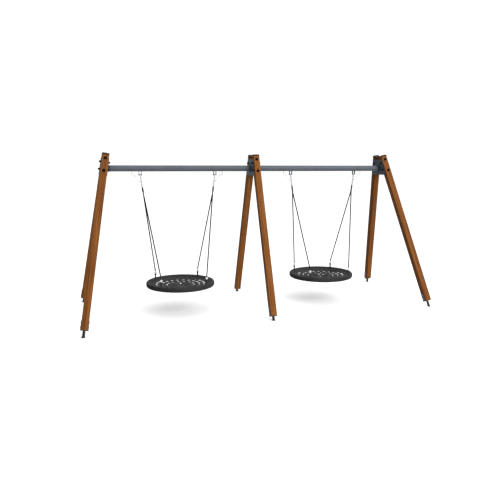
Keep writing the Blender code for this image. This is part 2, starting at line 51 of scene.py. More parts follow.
# Frame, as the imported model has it
BEAM_Z = 2.504
FRAME_X = 2.595
END_SPLAY = 0.435
LEG_Y_TOP = 0.184
LEG_Y_FOOT = 1.115
POST_SIDE = 0.110
POST_BELOW = 2.598
POST_ABOVE = {-1: 0.225, 0: 0.212, 1: 0.225}
POST_ROUND = 0.007
POST_FOOT_EASE = 0.004
POST_FOOT_SCALE = 0.92
GRAIN_STEP = np.array((1.7, 0.9, 5.3))
CAP_SIDE = 0.115
GAP = 0.0003
SINK = 0.0005  # small offset between a fitting and the face it sits on
SKIN = 0.0002  # rubber kept inside its stated size
AXIS_R = 1e-5  # a turned profile's smallest radius
SIDES = (("front", -1), ("rear", 1))
FRAMES = (("left", -1), ("middle", 0), ("right", 1))

# Head brackets and crossbars
BEAM_R = 0.0508
BEAM_WALL = 0.005
SPIGOT_R = BEAM_R - 0.006
SPIGOT_LENGTH = 0.06
COLLAR_WELD_R = 0.0035
LUG_WELD_R = 0.0022
COLLAR_R = 0.0535
COLLAR_REACH = 0.102
HEAD_RISE = {-1: 0.012, 0: 0.0, 1: 0.012}
PLATE_THICK = 0.007
PLATE_TOP = 0.161
PLATE_BOTTOM = -0.127
PLATE_HALF_TOP = 0.158
PLATE_HALF_BOTTOM = 0.238
PLATE_CORNER = 0.014
SPACER_R = 0.048
BOLT_HEIGHTS = (0.093, -0.031)
BOLT_INSET = 0.026
BOLT_CAP_R = 0.0185
BOLT_CAP_HEIGHT = 0.026
FACE_BOLT_HEIGHTS = (0.150, -0.066)  # bolts on the posts' outer faces, from the beam's height
FACE_BOLT_R = 0.0250

# Ground anchors
SHOE_HEIGHT = 0.150
SHOE_WIDTH = 0.062
SHOE_THICK = 0.006
SHOE_BASE = 0.088
STUB_R = 0.0215
FOOT_R = 0.030
FOOT_THICK = 0.010
SHOE_CORNER = 0.006
SHOE_BOLT_HEIGHTS = (0.040, 0.115)
SHOE_BOLT_HEAD = (0.0098, 0.0062)  # radius and height, as for the other bolt heads
WASHER_R = 0.0125
STUB_WELD_R = 0.0028

# Hangers
SEAT_X = JOINTS["right_seat_swing"]["pos_m"][0]
PIVOT_Z = JOINTS["right_seat_swing"]["pos_m"][2]
HANGER_X = 0.645
SAFETY_X = 0.780
LUG_SPACING = 0.042
LUG_THICK = 0.006
LUG_HALF_WIDTH = 0.020
EYE_THICK = 0.004
EYE_HALF_WIDTH = 0.013
PIN_R = 0.006
PIN_BORE_R = 0.0066
PIN_HEAD = (0.0105, 0.007)
BARREL_R = 0.0125
TONGUE_THICK = 0.008
TONGUE_HALF_WIDTH = 0.014
TONGUE_HOLE_R = 0.009
HANGER_SLOPE = 0.134
WIRE_R = 0.0035
LINK_OPENING = 0.0275
LINK_PITCH = 0.0285
LINK_HALF_WIDTH = 0.0095
LINKS = 5
EYE_AT = 0.047
HEAD_EYE_AT = 0.1968
HEAD_BODY = (0.214, 0.303)
HEAD_BODY_R = 0.0150
YOKE_TOP = 0.303
YOKE_BOLT = (0.0070, 0.0030)
YOKE_HALF_WIDTH = 0.021
YOKE_THICK = 0.016

# Seats and ropes
SEAT_R = 0.600
SEAT_TOP = 0.531
NET_R = 0.5172
NET_EDGE_TOP = 0.506
NET_THICK = 0.020  # at the edge
NET_DISH = 0.038
TIE = 0.390
ROPE_R = 0.010
ROPE_TOP_Y = 0.0115
ROPE_TOP_AT = 0.3495
ROPE_FOOT_Z = 0.656
RING_R = 0.017
RING_WIRE_R = 0.005
RING_Z = 0.630
SAFETY_R = 0.0025
STRANDS = 6
LAY_LENGTH = 0.105  # one full turn of a strand
SLEEVE_LENGTH = 0.043
SLEEVE_R = 0.0112
FERRULE_R = 0.0042
SEAM_EVERY = 30.0  # degrees between the seat ring's seams

SHARP = math.radians(38.0)
UP = np.array((0.0, 0.0, 1.0))


# ---------------- node materials


def finish(name, roughness, metallic=0.0, **sockets):
    """A named material with its Principled shader, ready for its colour and bump nodes."""
    material = bpy.data.materials.new(name)
    material.use_nodes = True
    shader = material.node_tree.nodes["Principled BSDF"]
    shader.inputs["Roughness"].default_value = roughness
    shader.inputs["Metallic"].default_value = metallic
    for socket, value in sockets.items():
        shader.inputs[socket.replace("_", " ")].default_value = value
    return material, material.node_tree, shader


def add(tree, kind, **values):
    """A new node, with its input sockets set by their names."""
    node = tree.nodes.new("ShaderNode" + kind)
    for socket, value in values.items():
        node.inputs[socket.replace("_", " ")].default_value = value
    return node


def place_of(tree, stretch=(1.0, 1.0, 1.0), attribute=None):
    """Where on the piece: its Object coordinates or its own attribute, scaled along each axis."""
    mapping = add(tree, "Mapping", Scale=stretch)
    if attribute:
        source = add(tree, "Attribute")
        source.attribute_name = attribute
        tree.links.new(source.outputs["Vector"], mapping.inputs["Vector"])
    else:
        tree.links.new(add(tree, "TexCoord").outputs["Object"], mapping.inputs["Vector"])
    return mapping.outputs["Vector"]


def grey(value):
    return (value, value, value)


def noise(tree, vector, scale, detail=4.0, rough=0.55):
    cloud = add(tree, "TexNoise", Scale=scale, Detail=detail, Roughness=rough)
    tree.links.new(vector, cloud.inputs["Vector"])
    return cloud.outputs["Fac"]


def ramp(tree, value, stops):
    """Colour ramp with (position, colour) stops."""
    scale = add(tree, "ValToRGB")
    elements = scale.color_ramp.elements
    while len(elements) < len(stops):
        elements.new(0.5)
    for element, (position, colour) in zip(elements, stops):
        element.position = position
        element.color = (*colour, 1.0)
    tree.links.new(value, scale.inputs["Fac"])
    return scale.outputs["Color"]


def multiplied(tree, first, second, share=1.0):
    """One colour times another, as far as the share says."""
    node = add(tree, "Mix")
    node.data_type = "RGBA"
    node.blend_type = "MULTIPLY"
    node.inputs[0].default_value = share
    tree.links.new(first, node.inputs[6])
    tree.links.new(second, node.inputs[7])
    return node.outputs[2]


def bump(tree, shader, height, strength, distance):
    node = add(tree, "Bump", Strength=strength, Distance=distance)
    tree.links.new(height, node.inputs["Height"])
    tree.links.new(node.outputs["Normal"], shader.inputs["Normal"])


def oiled_timber():
    """Long grain streaks, fine dark pores and a few wide bands, all along the post."""
    material, tree, shader = finish("oiled_timber", 0.62, Specular_IOR_Level=0.08)
    wide = noise(tree, place_of(tree, (16.0, 16.0, 0.5), "grain"), 1.0, 3.0)
    streak = noise(tree, place_of(tree, (95.0, 95.0, 1.6), "grain"), 1.0, 5.0, 0.62)
    pore = noise(tree, place_of(tree, (520.0, 520.0, 9.0), "grain"), 1.0, 2.0)
    base = ramp(tree, streak, (
        (0.34, (0.108, 0.036, 0.007)),
        (0.46, (0.180, 0.062, 0.013)),
        (0.56, (0.238, 0.085, 0.019)),
        (0.70, (0.312, 0.119, 0.028)),
    ))
    bands = ramp(tree, wide, (
        (0.36, (0.80, 0.76, 0.72)),
        (0.52, grey(1.0)),
        (0.70, (1.12, 1.08, 1.02)),
    ))
    toned = multiplied(tree, base, bands)
    pores = ramp(tree, pore, ((0.30, (0.52, 0.45, 0.40)), (0.44, grey(1.0))))
    final = multiplied(tree, toned, pores, 0.8)
    tree.links.new(final, shader.inputs["Base Color"])
    rough = ramp(tree, streak, ((0.30, grey(0.72)), (0.70, grey(0.56))))
    tree.links.new(rough, shader.inputs["Roughness"])
    bump(tree, shader, pore, 0.35, 0.0006)
    return material


def dark_cap():
    """Dark brown stained cap with faint grain and paler worn specks."""
    material, tree, shader = finish("dark_cap", 0.7, Specular_IOR_Level=0.15)
    grain = noise(tree, place_of(tree, (120.0, 14.0, 120.0)), 1.0, 5.0)
    tone = ramp(tree, grain, (
        (0.35, (0.018, 0.008, 0.003)),
        (0.55, (0.036, 0.017, 0.006)),
        (0.75, (0.064, 0.031, 0.012)),
    ))
    tree.links.new(tone, shader.inputs["Base Color"])
    bump(tree, shader, grain, 0.4, 0.0006)
    return material


def coated_steel(name, dark, pale, roughness, metallic):
    """Sprayed coating on steel: cloudy tone, fine orange peel and a little dust."""
    material, tree, shader = finish(name, roughness, metallic, Specular_IOR_Level=0.22)
    place = place_of(tree)
    cloud = noise(tree, place, 9.0, 5.0)
    speck = noise(tree, place, 420.0, 2.0)
    tone = ramp(tree, cloud, ((0.34, dark), (0.66, pale)))
    dust = ramp(tree, speck, ((0.40, grey(0.94)), (0.62, grey(1.02))))
    tree.links.new(multiplied(tree, tone, dust), shader.inputs["Base Color"])
    rough = ramp(tree, cloud, (
        (0.3, grey(roughness * 0.85)),
        (0.7, grey(min(1.0, roughness * 1.2))),
    ))
    tree.links.new(rough, shader.inputs["Roughness"])
    bump(tree, shader, speck, 0.08, 0.0002)
    return material


def zinc(name, dark, pale, roughness):
    """Galvanised steel: angular spangles of slightly different greys, and dull smears."""
    material, tree, shader = finish(name, roughness, 0.75)
    place = place_of(tree)
    cells = add(tree, "TexVoronoi", Scale=210.0)
    tree.links.new(place, cells.inputs["Vector"])
    smear = noise(tree, place, 60.0, 4.0)
    flake = ramp(tree, cells.outputs["Color"], ((0.2, dark), (0.8, pale)))
    shade = ramp(tree, smear, ((0.35, grey(0.80)), (0.62, grey(1.0))))
    tree.links.new(multiplied(tree, flake, shade), shader.inputs["Base Color"])
    bump(tree, shader, smear, 0.15, 0.0003)
    return material


def laid_rope():
    """Yarns across each strand from the rope's own (around, along) attribute, with dust between."""
    material, tree, shader = finish("laid_rope", 0.92, Specular_IOR_Level=0.0)
    yarn = add(tree, "TexWave", Scale=1.0, Distortion=1.2, Detail=2.0)
    yarn.wave_type = "BANDS"
    yarn.bands_direction = "DIAGONAL"
    tree.links.new(place_of(tree, (34.0, 210.0, 1.0), "lay"), yarn.inputs["Vector"])
    fuzz = noise(tree, place_of(tree), 520.0, 3.0)
    tone = ramp(tree, yarn.outputs["Fac"], (
        (0.15, (0.005, 0.005, 0.006)),
        (0.55, (0.010, 0.010, 0.011)),
        (0.90, (0.020, 0.020, 0.022)),
    ))
    dusty = ramp(tree, fuzz, ((0.35, grey(0.70)), (0.65, (1.15, 1.14, 1.12))))
    tree.links.new(multiplied(tree, tone, dusty), shader.inputs["Base Color"])
    bump(tree, shader, yarn.outputs["Fac"], 0.5, 0.0006)
    return material


def moulded_rubber(name, dark, pale, roughness, shine=0.15):
    """Matt moulded rubber: soft cloudy tone, pebbled skin and dusty high spots."""
    material, tree, shader = finish(name, roughness, Specular_IOR_Level=shine)
    place = place_of(tree)
    cloud = noise(tree, place, 7.0, 5.0)
    pebble = noise(tree, place, 300.0, 3.0)
    tone = ramp(tree, cloud, ((0.34, dark), (0.68, pale)))
    skin = ramp(tree, pebble, ((0.36, grey(0.74)), (0.64, grey(1.10))))
    tree.links.new(multiplied(tree, tone, skin), shader.inputs["Base Color"])
    bump(tree, shader, pebble, 0.35, 0.0008)
    return material


TIMBER = oiled_timber()
CAP = dark_cap()
STEEL = coated_steel("grey_steel", (0.086, 0.102, 0.120), (0.112, 0.130, 0.150), 0.48, 0.10)
PLATE_STEEL = coated_steel("plate_steel", (0.056, 0.072, 0.088), (0.078, 0.096, 0.116), 0.5, 0.05)
# The collars are a real part, but their grey is darker than the crossbar's: painted shade for the dark band
# where each crossbar meets its head plates.
SHADE_DARKENED_COLLAR_STEEL = coated_steel("collar_steel_painted_shade", (0.036, 0.046, 0.056), (0.050, 0.062, 0.074), 0.5, 0.05)
DARK_STEEL = coated_steel("dark_steel", (0.014, 0.015, 0.018), (0.028, 0.030, 0.034), 0.55, 0.05)
BLACK_CAP = moulded_rubber("black_cap", grey(0.004), grey(0.009), 0.7, 0.03)
ZINC = zinc("zinc_steel", (0.42, 0.43, 0.45), (0.62, 0.63, 0.65), 0.38)
BRIGHT_ZINC = zinc("bright_zinc", (0.80, 0.81, 0.82), (0.93, 0.93, 0.94), 0.42)
ROPE = laid_rope()
RUBBER = moulded_rubber("black_rubber", (0.026, 0.026, 0.027), (0.040, 0.040, 0.041), 0.85)
NET_RUBBER = moulded_rubber("net_rubber", (0.026, 0.026, 0.027), (0.040, 0.040, 0.041), 0.85)


# ---------------- matrices and outlines


def shift(x=0.0, y=0.0, z=0.0):
    matrix = np.eye(4)
    matrix[:3, 3] = (x, y, z)
    return matrix


def turn(axis, angle):
    """Rotation about a coordinate axis: the two other axes turn into each other."""
    c, s = math.cos(angle), math.sin(angle)
    matrix = np.eye(4)
    a, b = {"X": (1, 2), "Y": (2, 0), "Z": (0, 1)}[axis]
    matrix[a, a] = matrix[b, b] = c
    matrix[a, b] = -s
    matrix[b, a] = s
    return matrix


def along_x(hand=1.0):
    """Rotation that carries +Z to +X or to -X."""
    return turn("Y", hand * math.pi / 2)


def carry(matrix, points):
    """Each point turned and shifted by the matrix."""
    return points @ matrix[:3, :3].T + matrix[:3, 3]


def unit(vectors):
    return vectors / np.linalg.norm(vectors, axis=-1, keepdims=True)


def full_turn(count):
    """Angles spread evenly over one full turn."""
    return np.linspace(0.0, math.tau, count, endpoint=False)


def points_at(x, y, z):
    """Points from their coordinates, each of which is an array or one number for all."""
    return np.stack(np.broadcast_arrays(x, y, z), -1)


def square_to(direction):
    """Two directions square to a line and to each other."""
    side = unit(np.cross(direction, UP))
    return side, np.cross(side, direction)


def evenly(points, count, closed=False):
    """Points at even steps along straight pieces, and how far along each one is."""
    if closed:
        points = np.vstack([points, points[:1]])
    step = np.linalg.norm(np.diff(points, axis=0), axis=1)
    share = np.concatenate([[0.0], np.cumsum(step)])
    even = np.linspace(0.0, share[-1], count, endpoint=not closed)
    return np.stack([np.interp(even, share, column) for column in points.T], -1), even


def stacked(outline, rows):
    """Rings of one outline, one for each (height, scale) row."""
    return np.array([points_at(*(outline * scale).T, z) for z, scale in rows])


def rounded_box_outline(half_u, half_v, radius, steps=4):
    """Rectangle with round corners: each corner is a quarter circle about its own centre."""
    quarter = np.linspace(0.0, math.pi / 2, steps + 1)
    corners = []
    for k, (u, v) in enumerate(((1, 1), (-1, 1), (-1, -1), (1, -1))):
        angle = quarter + k * math.pi / 2
        x = u * (half_u - radius) + radius * np.cos(angle)
        y = v * (half_v - radius) + radius * np.sin(angle)
        corners.append(np.stack([x, y], -1))
    return np.concatenate(corners)


def rounded_outline(corners, radius, steps=4):
    """Convex polygon whose corners are arcs: each arc is tangent to both of its sides."""
    corners = np.array(corners, float)
    pieces = []
    for i, corner in enumerate(corners):
        before = unit(corners[i - 1] - corner)
        after = unit(corners[(i + 1) % len(corners)] - corner)
        half = 0.5 * math.acos(float(np.clip(before @ after, -1.0, 1.0)))
        centre = corner + unit(before + after) * (radius / math.sin(half))
        start = corner + before * (radius / math.tan(half)) - centre
        end = corner + after * (radius / math.tan(half)) - centre
        share = np.linspace(0.0, 1.0, steps + 1)[:, None]
        arc = unit(start * (1.0 - share) + end * share) * radius
        pieces.append(centre + arc)
    return np.concatenate(pieces)


def trapezium(half_low, low, half_high, high, radius, steps=4):
    """Level-edged outline with round corners, as wide as stated at its low and its high edge."""
    corners = ((-half_low, low), (half_low, low), (half_high, high), (-half_high, high))
    return rounded_outline(corners, radius, steps)


# ---------------- surfaces


def tube_patch(rings, extra=None):
    """Rows of closed rings from one end to the other, each end closed by a fan to its middle."""
    return {"points": rings, "wrap": False, "extra": extra}


def loop_patch(rings):
    """Rings that close on themselves both ways, as a torus does."""
    return {"points": rings, "wrap": True}


def patch_faces(points, wrap):
    """Vertices and faces of one patch, faces turned so that the enclosed volume is positive."""
    rows, columns, _ = points.shape
    i = np.arange(rows if wrap else rows - 1)
    j = np.arange(columns)
    i, j = np.meshgrid(i, j, indexing="ij")
    k = (j + 1) % columns
    n = (i + 1) % rows
    quads = np.stack([i * columns + j, i * columns + k, n * columns + k, n * columns + j], -1)
    quads = quads.reshape(-1, 4)
    vertices = points.reshape(-1, 3)
    fans = np.zeros((0, 3), int)
    if not wrap:
        count = rows * columns
        vertices = np.vstack([vertices, points[0].mean(0), points[-1].mean(0)])
        around = np.arange(columns)
        after = (around + 1) % columns
        last = (rows - 1) * columns
        first_fan = np.stack([np.full(columns, count), after, around], -1)
        last_fan = np.stack([np.full(columns, count + 1), last + around, last + after], -1)
        fans = np.vstack([first_fan, last_fan])
    triangles = np.vstack([quads[:, :3], quads[:, [0, 2, 3]], fans])
    corner = vertices[triangles] - vertices.mean(0)
    volume = np.einsum("ij,ij->i", corner[:, 0], np.cross(corner[:, 1], corner[:, 2])).sum()
    if volume < 0.0:
        quads = quads[:, ::-1]
        fans = fans[:, ::-1]
    return vertices, quads, fans


def build(name, patches, material, body, stands_for=(), attribute=None):
    """One mesh object from patches, in world places, riding on its body."""
    vertices, loops, sizes, extras = [], [], [], []
    offset = 0
    for patch in patches:
        points, quads, fans = patch_faces(patch["points"], patch["wrap"])
        vertices.append(points)
        loops += [(quads + offset).ravel(), (fans + offset).ravel()]
        sizes += [np.full(len(quads), 4), np.full(len(fans), 3)]
        if attribute:
            extra = patch["extra"].reshape(-1, 3)
            if not patch["wrap"]:
                extra = np.vstack([extra, patch["extra"][0].mean(0), patch["extra"][-1].mean(0)])
            extras.append(extra)
        offset += len(points)
    vertices = np.concatenate(vertices)
    loops = np.concatenate(loops)
    sizes = np.concatenate(sizes)
    mesh = bpy.data.meshes.new(name)
    mesh.vertices.add(len(vertices))
    mesh.vertices.foreach_set("co", vertices.astype(np.float32).ravel())
    mesh.loops.add(len(loops))
    mesh.loops.foreach_set("vertex_index", loops.astype(np.int32))
    mesh.polygons.add(len(sizes))
    starts = np.concatenate([[0], np.cumsum(sizes)[:-1]]).astype(np.int32)
    mesh.polygons.foreach_set("loop_start", starts)
    mesh.update(calc_edges=True)
    mesh.validate()
    if attribute:
        field = mesh.attributes.new(attribute, "FLOAT_VECTOR", "POINT")
        field.data.foreach_set("vector", np.concatenate(extras).astype(np.float32).ravel())
    mesh.shade_smooth()
    mesh.set_sharp_from_angle(angle=SHARP)
    mesh.materials.append(material)
    piece = bpy.data.objects.new(name, mesh)
    bpy.context.scene.collection.objects.link(piece)
    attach(piece, body)
    if stands_for:
        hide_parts(*stands_for)
    return piece


def turned(profile, matrix, segments=32):
    """(radius, height) profile turned about Z: x and y are the radius times cosine and sine."""
    profile = np.array(profile, float)
    angle = full_turn(segments)
    radius = np.maximum(profile[:, :1], AXIS_R)
    points = points_at(radius * np.cos(angle), radius * np.sin(angle), profile[:, 1:])
    return tube_patch(carry(matrix, points))


def turned_ring(profile, matrix, segments=96):
    """Closed (radius, height) profile turned about Z into a ring with no ends."""
    radius, height = np.array(profile, float).T
    angle = full_turn(segments)[:, None]
    return loop_patch(carry(matrix, points_at(radius * np.cos(angle), radius * np.sin(angle), height)))


def eased(profile, radius=0.0012, steps=3):
    """Profile whose inner corners become short curves: each is a quadratic curve to its sides."""
    profile = np.array(profile, float)
    kept = [profile[:1]]
    share = np.linspace(0.0, 1.0, steps + 1)[:, None]
    for before, corner, after in zip(profile[:-2], profile[1:-1], profile[2:]):
        reach_in = min(radius, 0.45 * np.linalg.norm(before - corner))
        reach_out = min(radius, 0.45 * np.linalg.norm(after - corner))
        start = corner + unit(before - corner) * reach_in
        end = corner + unit(after - corner) * reach_out
        curve = start * (1 - share) ** 2 + 2 * corner * share * (1 - share) + end * share**2
        kept.append(curve)
    kept.append(profile[-1:])
    return np.concatenate(kept)


def plate(outline, thickness, matrix, ease=0.001):
    """Convex (y, z) outline made a plate across X: the rim is full size, both faces' edges eased."""
    middle = outline.mean(0)
    reach = np.linalg.norm(outline - middle, axis=1).mean()
    inset = 1.0 - ease / reach
    half = thickness / 2
    rows = ((-half, inset), (ease - half, 1.0), (half - ease, 1.0), (half, inset))
    rings = []
    for x, scale in rows:
        flat = middle + (outline - middle) * scale
        rings.append(points_at(x, *flat.T))
    return tube_patch(carry(matrix, np.array(rings)))


def strap(half_width, flat, eye, bore, thickness, matrix, ease=0.0008):
    """Strap from its flat end to a half circle about its eye, with a round bore through the eye.

    Around the bore, a section runs out along one face, across the rim and back in."""
    heading = 1.0 if flat > eye else -1.0
    angle = np.linspace(math.pi, math.tau, 11)
    round_end = np.stack([half_width * np.cos(angle), eye + heading * half_width * np.sin(angle)], -1)
    ends = np.array([(half_width, flat), (-half_width, flat)])
    rim, _ = evenly(np.concatenate([ends, round_end]), 64, closed=True)
    middle = np.array((0.0, eye))
    distance = np.linalg.norm(rim - middle, axis=1, keepdims=True)
    way = (rim - middle) / distance
    half = thickness / 2
    rings = []
    for radius, offset, x in (
        (distance, -ease, half),
        (distance, 0.0, half - ease),
        (distance, 0.0, ease - half),
        (distance, -ease, -half),
        (bore, ease, -half),
        (bore, 0.0, ease - half),
        (bore, 0.0, half - ease),
        (bore, ease, half),
    ):
        rings.append(points_at(x, *(middle + way * (radius + offset)).T))
    return loop_patch(carry(matrix, np.array(rings)))


def wire(path, radius, closed, segments=12, across=(0.0, 1.0, 0.0)):
    """Round wire along a path: each ring is the path point plus the radius times two normals."""
    path = np.array(path, float)
    if closed:
        tangent = unit(np.roll(path, -1, 0) - np.roll(path, 1, 0))
    else:
        tangent = unit(np.gradient(path, axis=0))
    side = unit(np.cross(tangent, across))
    lift = np.cross(side, tangent)
    angle = full_turn(segments)[None, :, None]
    rings = path[:, None] + radius * (np.cos(angle) * side[:, None] + np.sin(angle) * lift[:, None])
    return loop_patch(rings) if closed else tube_patch(rings)


def hexagon_bolt(radius, height, matrix):
    """Bolt head with six flats: the radius shrinks between corners as 1 / cos of the angle."""
    angle = full_turn(36)
    from_flat = (angle + math.pi / 6) % (math.pi / 3) - math.pi / 6
    flat = radius * math.cos(math.pi / 6) / np.cos(from_flat)
    rings = []
    for scale, z in ((1.0, 0.0), (1.0, height * 0.8), (0.86, height), (0.3, height)):
        rings.append(points_at(flat * scale * np.cos(angle), flat * scale * np.sin(angle), z))
    return tube_patch(carry(matrix, np.array(rings)))


def domed_cap(matrix, radius=BOLT_CAP_R, height=BOLT_CAP_HEIGHT, segments=32):
    """Domed cap: a flared skirt, a short wall, then a quarter ellipse up to the top."""
    skirt = height * 0.38
    angle = np.linspace(0.0, math.pi / 2, 9)
    dome = np.stack([0.94 * radius * np.cos(angle), skirt + (height - skirt) * np.sin(angle)], -1)
    profile = np.vstack([[(0.0, 0.0), (radius, 0.0), (radius, height * 0.12)], dome])
    return turned(profile, matrix, segments)


def weld(path, radius, across):
    """Weld bead: a wire whose radius ripples as the sine of the distance along it."""
    path = np.array(path, float)
    rings = wire(path, radius, True, 8, across)["points"]
    ripple = 1.0 + 0.12 * np.sin(np.arange(len(path)) * 1.9)[:, None, None]
    return loop_patch(path[:, None] + (rings - path[:, None]) * ripple)


# ---------------- frame


def frame_matrix(side):
    return shift(side * FRAME_X, 0.0, BEAM_Z) @ turn("Y", frame_tilt(side))


def frame_tilt(side):
    return -side * math.atan(END_SPLAY / BEAM_Z)


def leg_lean(side):
    height = BEAM_Z / math.cos(frame_tilt(side))
    return math.atan((LEG_Y_FOOT - LEG_Y_TOP) / height)


def leg_matrix(side, sign):
    return frame_matrix(side) @ shift(0.0, sign * LEG_Y_TOP, 0.0) @ turn("X", sign * leg_lean(side))


def timber_post(name, side, sign, order, stands_for):
    """Square post with rounded edges, eased in at its foot; each post's grain starts elsewhere."""
    outline = rounded_box_outline(POST_SIDE / 2, POST_SIDE / 2, POST_ROUND)
    top = POST_ABOVE[side]
    straight = np.linspace(0.05 - POST_BELOW, top - 0.05, 24)
    heights = [-POST_BELOW, POST_FOOT_EASE - POST_BELOW, *straight, top]
    scales = [POST_FOOT_SCALE] + [1.0] * (len(heights) - 1)
    rings = stacked(outline, zip(heights, scales))
    patch = tube_patch(carry(leg_matrix(side, sign), rings), rings + order * GRAIN_STEP)
    build(name, [patch], TIMBER, "frame", stands_for, "grain")


def post_cap(name, side, sign, stands_for):
    """Square cap: straight sides, then a rounded shoulder up to a slightly crowned top."""
    half = CAP_SIDE / 2
    rings = []
    for inset, z in (
        (0.0015, 0.0), (0.0, 0.0015), (0.0, 0.019), (0.0008, 0.0225), (0.0028, 0.0255),
        (0.0060, 0.0280), (0.0110, 0.0290), (0.0300, 0.0298), (0.0440, 0.0300),
    ):
        outline = rounded_box_outline(half - inset, half - inset, min(0.007, half - inset), 4)
        rings.append(points_at(*outline.T, POST_ABOVE[side] + GAP + z))
    patch = tube_patch(carry(leg_matrix(side, sign), np.array(rings)))
    build(name, [patch], CAP, "frame", stands_for)


def face_bolts(name, side, sign):
    """Two domed caps on the post's outer face, at the head bracket's height."""
    leg = leg_matrix(side, sign)
    patches = []
    for height in [HEAD_RISE[side] + height for height in FACE_BOLT_HEIGHTS]:
        at = leg @ shift(0.0, sign * (POST_SIDE / 2 - SINK), height)
        patches.append(domed_cap(at @ turn("X", -sign * math.pi / 2), FACE_BOLT_R))
    build(name, patches, BLACK_CAP, "frame")


def ground_anchor(ending, side, sign, stands_for):
    """Shoe of two side plates and a base, tube stub with a weld, foot plate, and hexagon bolts."""
    leg = leg_matrix(side, sign)
    base_top = -POST_BELOW - GAP
    half = SHOE_WIDTH / 2
    outline = trapezium(half, base_top - SHOE_THICK, half, SHOE_HEIGHT - POST_BELOW, SHOE_CORNER)
    steel = []
    bolts = []
    face = POST_SIDE / 2 + GAP + SHOE_THICK
    washer = eased(((0.0, -SINK), (WASHER_R, -SINK), (WASHER_R, 0.0015), (0.0, 0.0015)), 0.0004)
    for hand in (-1, 1):
        steel.append(plate(outline, SHOE_THICK, leg @ shift(hand * (face - SHOE_THICK / 2))))
        for height in SHOE_BOLT_HEIGHTS:
            at = leg @ shift(hand * face, 0.0, height - POST_BELOW) @ along_x(hand)
            bolts.append(turned(washer, at, 24))
            bolts.append(hexagon_bolt(*SHOE_BOLT_HEAD, at @ shift(0.0, 0.0, 0.001)))
    base = rounded_box_outline(face - SINK, SHOE_BASE / 2, 0.004)
    rows = ((0.0, 0.99), (0.0008, 1.0), (0.0052, 1.0), (0.006, 0.99))
    steel.append(tube_patch(carry(leg, stacked(base, [(base_top - z, scale) for z, scale in rows]))))
    top = carry(leg, np.array((0.0, 0.0, base_top - SHOE_THICK / 2)))
    down = -leg[:3, 2]
    foot = top + down * (top[2] / -down[2])
    angle = full_turn(40)
    ring = points_at(STUB_R * np.cos(angle), STUB_R * np.sin(angle), 0.0) @ leg[:3, :3].T
    upper = top + ring
    lower = upper + down * ((upper[:, 2] - FOOT_THICK / 2) / -down[2])[:, None]
    stub = np.array([upper * (1 - t) + lower * t for t in (0.0, 0.5, 1.0)])
    bead = top + ring * 1.03 + down * (SHOE_THICK / 2 + SINK)
    profile = eased(((0.0, 0.0), (FOOT_R, 0.0), (FOOT_R, FOOT_THICK), (0.0, FOOT_THICK)), 0.0015)
    foot_plate = turned(profile, shift(foot[0], foot[1]), 48)
    dark = [tube_patch(stub), weld(bead, STUB_WELD_R, down), foot_plate]
    build("shoe" + ending, steel, STEEL, "frame", stands_for)
    build("stub" + ending, dark, DARK_STEEL, "frame", stands_for)
    build("shoe_bolts" + ending, bolts, ZINC, "frame")


def bolt_places(side):
    lean = math.tan(leg_lean(side))
    return [
        (sign * (LEG_Y_TOP - height * lean - BOLT_INSET), height)
        for height in [HEAD_RISE[side] + height for height in BOLT_HEIGHTS]
        for sign in (-1, 1)
    ]


def head_bracket(frame_name, side, stands_for):
    """Two side plates with a spacer tube between them, collars for the crossbars, domed caps."""
    guide = frame_matrix(side)
    half_gap = POST_SIDE / 2 + GAP
    face = half_gap + PLATE_THICK
    reach = half_gap + PLATE_THICK / 2
    bottom = PLATE_BOTTOM + HEAD_RISE[side]
    top = PLATE_TOP + HEAD_RISE[side]
    outline = trapezium(PLATE_HALF_BOTTOM, bottom, PLATE_HALF_TOP, top, PLATE_CORNER, 6)
    steel = []
    caps = []
    for hand in (-1, 1):
        steel.append(plate(outline, PLATE_THICK, guide @ shift(hand * reach), 0.0012))
        for y, height in bolt_places(side):
            caps.append(domed_cap(guide @ shift(hand * (face - SINK), y, height) @ along_x(hand)))
    spacer = ((0.0, -reach), (SPACER_R, -reach), (SPACER_R, reach), (0.0, reach))
    steel.append(turned(spacer, guide @ along_x(), 48))
    inner = half_gap + PLATE_THICK * 0.3
    tip = COLLAR_REACH + SPIGOT_LENGTH
    profile = eased(
        (
            (0.0, inner), (COLLAR_R, inner), (COLLAR_R, COLLAR_REACH),
            (SPIGOT_R, COLLAR_REACH), (SPIGOT_R, tip), (0.0, tip),
        ),
        0.002,
    )
    bead_r = COLLAR_R + 0.001
    angle = full_turn(90)
    collars = []
    for hand in (-1, 1):
        if hand == side:
            continue
        collars.append(turned(profile, shift(side * FRAME_X, 0.0, BEAM_Z) @ along_x(hand), 64))
        x = side * FRAME_X + hand * (face + 0.001) + math.tan(frame_tilt(side)) * COLLAR_R * np.sin(angle)
        bead = points_at(x, bead_r * np.cos(angle), BEAM_Z + bead_r * np.sin(angle))
        collars.append(weld(bead, COLLAR_WELD_R, (1.0, 0.0, 0.0)))
    build("head_plates_" + frame_name, steel, PLATE_STEEL, "frame", stands_for)
    # The collars' darker grey is painted shade where the crossbars meet the plates.
    build("beam_collars_" + frame_name, collars, SHADE_DARKENED_COLLAR_STEEL, "frame", stands_for)
    build("bolt_caps_" + frame_name, caps, BLACK_CAP, "frame", stands_for)


def cable_eye(x):
    """Wire loop under the tube: two lines down and a half circle round the cable."""
    top = BEAM_Z - BEAM_R + 0.001
    radius = EYE_HALF_WIDTH - EYE_THICK
    angle = np.linspace(math.pi, math.tau, 13)
    down = np.linspace(top, PIVOT_Z, 5)[:-1]
    path = (
        points_at(x, -radius, down),
        points_at(x, radius * np.cos(angle), PIVOT_Z + radius * np.sin(angle)),
        points_at(x, radius, down[::-1]),
    )
    return wire(np.concatenate(path), EYE_THICK / 2, False, 10, (1.0, 0.0, 0.0))


